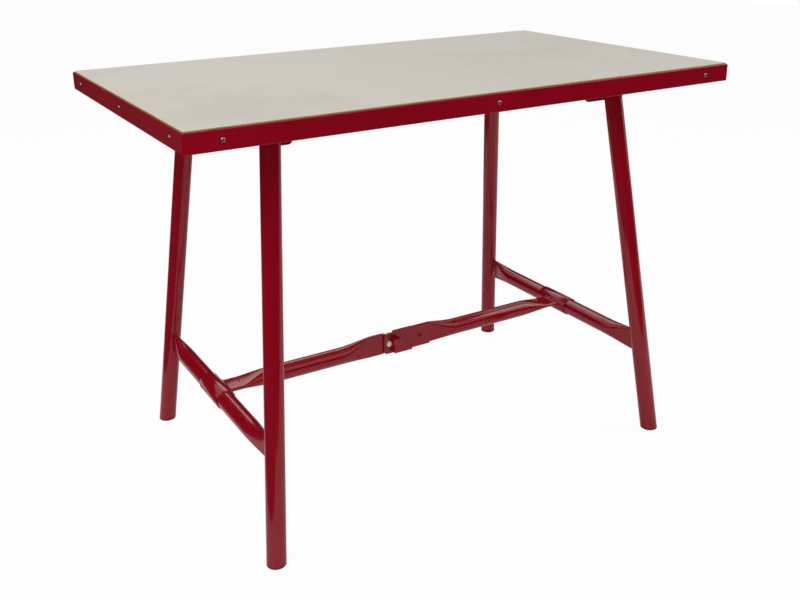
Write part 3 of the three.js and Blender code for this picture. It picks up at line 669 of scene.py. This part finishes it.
def stadium(half_long, half_short, count):
    """Points of a slot outline, evenly placed, as (long, short)."""
    straight = 2 * (half_long - half_short)
    total = 2 * straight + 2 * math.pi * half_short
    points = []
    for k in range(count):
        run = total * k / count
        side = 1 if run < total / 2 else -1
        run -= 0 if side > 0 else total / 2
        if run < straight:
            points.append((side * (run - straight / 2), side * half_short))
        else:
            angle = math.pi / 2 - (run - straight) / half_short
            reach = straight / 2 + half_short * math.cos(angle)
            points.append((side * reach, side * half_short * math.sin(angle)))
    return points


def make_crossbar(side, sx):
    body = f"{side}_leg_frame"
    flat_end = CROSSBAR_END_Y - CROSSBAR_FLAT_LENGTH - LEG_RADIUS
    outer_end = flat_station(-(CROSSBAR_END_Y - LEG_RADIUS * LEG_SEAT), CROSSBAR_FLAT_HEIGHT, True)
    flat_start = flat_station(-flat_end, CROSSBAR_FLAT_HEIGHT, True)
    middle = round_station(CROSSBAR_FLARE_LENGTH - flat_end, CROSSBAR_RADIUS)
    half = [outer_end, flat_start, *eased(flat_start, middle), middle]
    other = [{**station, "x": -station["x"]} for station in reversed(half)]
    place = Matrix.Translation((sx * CROSSBAR_X, 0, CROSSBAR_Z)) @ Matrix.Rotation(math.pi / 2, 4, "Z")
    pressed_tube(f"{side}_crossbar_tube", half + other, place, body, (f"{side}_crossbar",))
    half_tall = CROSSBAR_FLAT_HEIGHT / 2 + CROSSBAR_BEAD_OFFSET
    half_thick = FLAT_THICKNESS / 2 + CROSSBAR_BEAD_OFFSET
    for end, sy in (("front", -1), ("back", 1)):
        path = []
        for tall, thick in stadium(half_tall, half_thick, BEAD_POINTS):
            x, z = sx * CROSSBAR_X + thick, CROSSBAR_Z + tall
            path.append(Vector((x, leg_surface_y(sx, sy, x, z), z)))
        weld_bead(f"{end}_{side}_crossbar_weld", path, CROSSBAR_BEAD, body)


# Stay halves with their sleeves
def make_sleeve(side, sx):
    reach, bore = SLEEVE_LENGTH / 2, CROSSBAR_RADIUS + FIT
    soft, softer = SLEEVE_EDGE, SLEEVE_EDGE * 0.3
    half = [
        (SLEEVE_RADIUS, reach - soft), (SLEEVE_RADIUS - softer, reach - softer),
        (SLEEVE_RADIUS - soft, reach), (bore, reach),
    ]
    profile = [(radius, -height) for radius, height in reversed(half)] + half
    rings = lathe_rings(profile, (sx * CROSSBAR_X, 0, CROSSBAR_Z), (0, 1, 0))
    node = f"{side}_stay_sleeve"
    loft(f"{node}_tube", rings, "red_paint", f"{side}_stay", looped=True, replaces=(node,), sharp=50.0)


def stay_run(sx, knee_flat, knee_end):
    sleeve_end = flat_station(sx * (CROSSBAR_X - SLEEVE_RADIUS * SLEEVE_SEAT), STAY_FLAT_HEIGHT, False)
    flat_x = CROSSBAR_X - SLEEVE_RADIUS - STAY_FLAT_LENGTH
    level_flat = flat_station(sx * flat_x, STAY_FLAT_HEIGHT, False)
    round_start = round_station(level_flat["x"] - sx * STAY_FLARE_LENGTH, STAY_RADIUS)
    round_end = round_station(knee_flat["x"] + sx * STAY_FLARE_LENGTH, STAY_RADIUS)
    flares = eased(level_flat, round_start), eased(round_end, knee_flat)
    return [sleeve_end, level_flat, *flares[0], round_start, round_end, *flares[1], knee_flat, *knee_end]


def nose_stations():
    """The left half's tongue ends in a half circle."""
    radius = STAY_FLAT_HEIGHT / 2
    thick = LEFT_TONGUE_THICKNESS / 2
    stations = []
    for i in range(NOSE_STEPS + 1):
        angle = math.radians(90 * i / NOSE_STEPS)
        half = max(radius * math.cos(angle), SMALLEST_NOSE)
        r = min(thick, half)
        x = LEFT_TONGUE_TIP - radius + radius * math.sin(angle)
        stations.append({"x": x, "r": r, "wide": thick - r, "tall": half - r, "rise": KNEE_RISE})
    return stations


def make_stay(side, sx, run, nodes):
    body = f"{side}_stay"
    pressed_tube(f"{side}_stay_pressing", run, Matrix.Translation((0, 0, STAY_Z)), body, nodes)
    half_wide = STAY_FLAT_HEIGHT / 2 + SLEEVE_BEAD_OFFSET
    half_thick = FLAT_THICKNESS / 2 + SLEEVE_BEAD_OFFSET
    path = []
    for wide, thick in stadium(half_wide, half_thick, BEAD_POINTS):
        rise = STAY_Z + thick - CROSSBAR_Z
        x = sx * (CROSSBAR_X - math.sqrt(SLEEVE_RADIUS ** 2 - rise ** 2))
        path.append(Vector((x, wide, STAY_Z + thick)))
    weld_bead(f"{side}_sleeve_weld", path, SLEEVE_BEAD, body)


def make_vent_shadow():
    """A thin patch of painted shadow where the short slit in the left half's level flat is."""
    outline = stadium(VENT_LONG / 2, VENT_WIDE / 2, VENT_POINTS)
    face = STAY_Z + FLAT_THICKNESS / 2
    rings = []
    for lift in (-VENT_DEPTH, VENT_LIFT):
        rings.append([(VENT_X + short, VENT_Y + long, face + lift) for long, short in outline])
    loft("left_stay_vent_painted_shadow", rings, "red_paint", "left_stay", material=SHADOW)


# CAD pieces that keep their shape and get rounded edges
def dress_solids():
    slots = {row["node"]: row["material_slot"] for row in frame["record"]["subparts"]}
    for node, piece in frame["nodes"].items():
        piece.data.materials.clear()
        piece.data.materials.append(SLOT_MATERIALS[slots[node]])
        if piece.hide_render:
            continue
        width = next((value for key, value in SOLID_EDGES.items() if key in node), OTHER_EDGE)
        add_bevel(piece, width, 40.0)


# Stage, light and camera
def make_floor():
    mesh = bpy.data.meshes.new("floor")
    mesh.from_pydata(FLOOR_CORNERS, [], [(0, 1, 2, 3)])
    nodes = Nodes("floor_white")
    nodes.set(Base_Color=FLOOR_GREY, Roughness=0.9)
    glow = nodes.add("ShaderNodeEmission")
    glow.inputs["Color"].default_value = WHITE
    blend = nodes.add("ShaderNodeMixShader")
    rays = nodes.add("ShaderNodeLightPath").outputs
    nodes.link(nodes.math("MULTIPLY", rays["Is Camera Ray"], FLOOR_GLOW), blend.inputs[0])
    nodes.link(nodes.shader.outputs[0], blend.inputs[1])
    nodes.link(glow.outputs[0], blend.inputs[2])
    nodes.link(blend.outputs[0], nodes.tree.nodes["Material Output"].inputs["Surface"])
    mesh.materials.append(nodes.material)
    floor = bpy.data.objects.new("floor", mesh)
    bpy.context.scene.collection.objects.link(floor)


def card_corners(low, high):
    """The corners of a flat rectangle between two opposite ones."""
    flat = next(axis for axis in range(3) if low[axis] == high[axis])
    across, along = [axis for axis in range(3) if axis != flat]
    corners = []
    for first, second in ((low, low), (high, low), (high, high), (low, high)):
        corner = list(low)
        corner[across], corner[along] = first[across], second[along]
        corners.append(corner)
    return corners


def make_flag(name, low, high):
    """A dark card out of view, which keeps bare white out of the paint's reflections."""
    mesh = bpy.data.meshes.new(name)
    mesh.from_pydata(card_corners(low, high), [], [(0, 1, 2, 3)])
    nodes = Nodes(name)
    nodes.set(Base_Color=FLAG_GREY, Roughness=1.0)
    mesh.materials.append(nodes.material)
    flag = bpy.data.objects.new(name, mesh)
    bpy.context.scene.collection.objects.link(flag)
    flag.visible_camera = False
    flag.visible_diffuse = False
    flag.visible_shadow = False


def make_lamp(name, place, size, power, aim):
    lamp = bpy.data.lights.new(name, "AREA")
    lamp.shape = "DISK"
    lamp.size = size
    lamp.energy = power
    holder = bpy.data.objects.new(name, lamp)
    holder.location = place
    holder.rotation_euler = (Vector(aim) - Vector(place)).to_track_quat("-Z", "Y").to_euler()
    bpy.context.scene.collection.objects.link(holder)


def make_world():
    """A soft fill for what is lit, and plain white for what is seen or mirrored."""
    world = bpy.data.worlds.new("studio")
    world.use_nodes = True
    bpy.context.scene.world = world
    tree = world.node_tree
    output = tree.nodes["World Output"]
    fill = tree.nodes["Background"]
    fill.inputs["Color"].default_value = WHITE
    fill.inputs["Strength"].default_value = WORLD_FILL
    white = tree.nodes.new("ShaderNodeBackground")
    white.inputs["Color"].default_value = WHITE
    blend = tree.nodes.new("ShaderNodeMixShader")
    rays = tree.nodes.new("ShaderNodeLightPath").outputs
    seen = rays["Is Camera Ray"]
    for other in ("Is Glossy Ray", "Is Transmission Ray"):
        either = tree.nodes.new("ShaderNodeMath")
        either.operation = "MAXIMUM"
        tree.links.new(seen, either.inputs[0])
        tree.links.new(rays[other], either.inputs[1])
        seen = either.outputs[0]
    tree.links.new(seen, blend.inputs[0])
    tree.links.new(fill.outputs[0], blend.inputs[1])
    tree.links.new(white.outputs[0], blend.inputs[2])
    tree.links.new(blend.outputs[0], output.inputs["Surface"])


def make_camera():
    forward = Vector((
        math.sin(CAMERA_YAW) * math.cos(CAMERA_PITCH),
        math.cos(CAMERA_YAW) * math.cos(CAMERA_PITCH),
        -math.sin(CAMERA_PITCH),
    ))
    right = Vector((math.cos(CAMERA_YAW), -math.sin(CAMERA_YAW), 0.0))
    up = right.cross(forward)
    right_rolled = math.cos(CAMERA_ROLL) * right + math.sin(CAMERA_ROLL) * up
    up_rolled = -math.sin(CAMERA_ROLL) * right + math.cos(CAMERA_ROLL) * up
    lens = bpy.data.cameras.new("camera")
    lens.sensor_width = SENSOR_MM
    lens.sensor_fit = "HORIZONTAL"
    lens.lens = CAMERA_FOCAL_PX * SENSOR_MM / IMAGE_WIDTH_PX
    lens.shift_y = (CAMERA_AXIS_PX - IMAGE_HEIGHT_PX / 2) / IMAGE_WIDTH_PX
    camera = bpy.data.objects.new("camera", lens)
    turn = Matrix((right_rolled, up_rolled, -forward)).transposed().to_4x4()
    camera.matrix_world = Matrix.Translation(CAMERA_PLACE) @ turn
    bpy.context.scene.collection.objects.link(camera)
    bpy.context.scene.camera = camera


make_camera()
make_world()
for lamp_row in LAMPS:
    make_lamp(*lamp_row)
for flag_row in FLAGS:
    make_flag(*flag_row)
make_floor()
make_board()
make_rim()
make_rim_screws()
for corner, side_x, side_y, frame_body in CORNERS:
    make_leg(corner, side_x, side_y, frame_body)
for side_name, side_sign in (("left", -1), ("right", 1)):
    make_crossbar(side_name, side_sign)
    make_sleeve(side_name, side_sign)
left_flat = knee_station(LEFT_FLAT_START, LEFT_TONGUE_THICKNESS)
make_stay("left", -1, stay_run(-1, left_flat, nose_stations()), ("left_stay_tube", "left_stay_tongue"))
right_flat = knee_station(KNEE_PLATE_END, FLAT_THICKNESS)
right_end = knee_station(RIGHT_TONGUE_START, FLAT_THICKNESS)
make_stay("right", 1, stay_run(1, right_flat, [right_end]), ("right_stay_tube",))
make_vent_shadow()
dress_solids()

bpy.context.scene.view_settings.view_transform = "Standard"
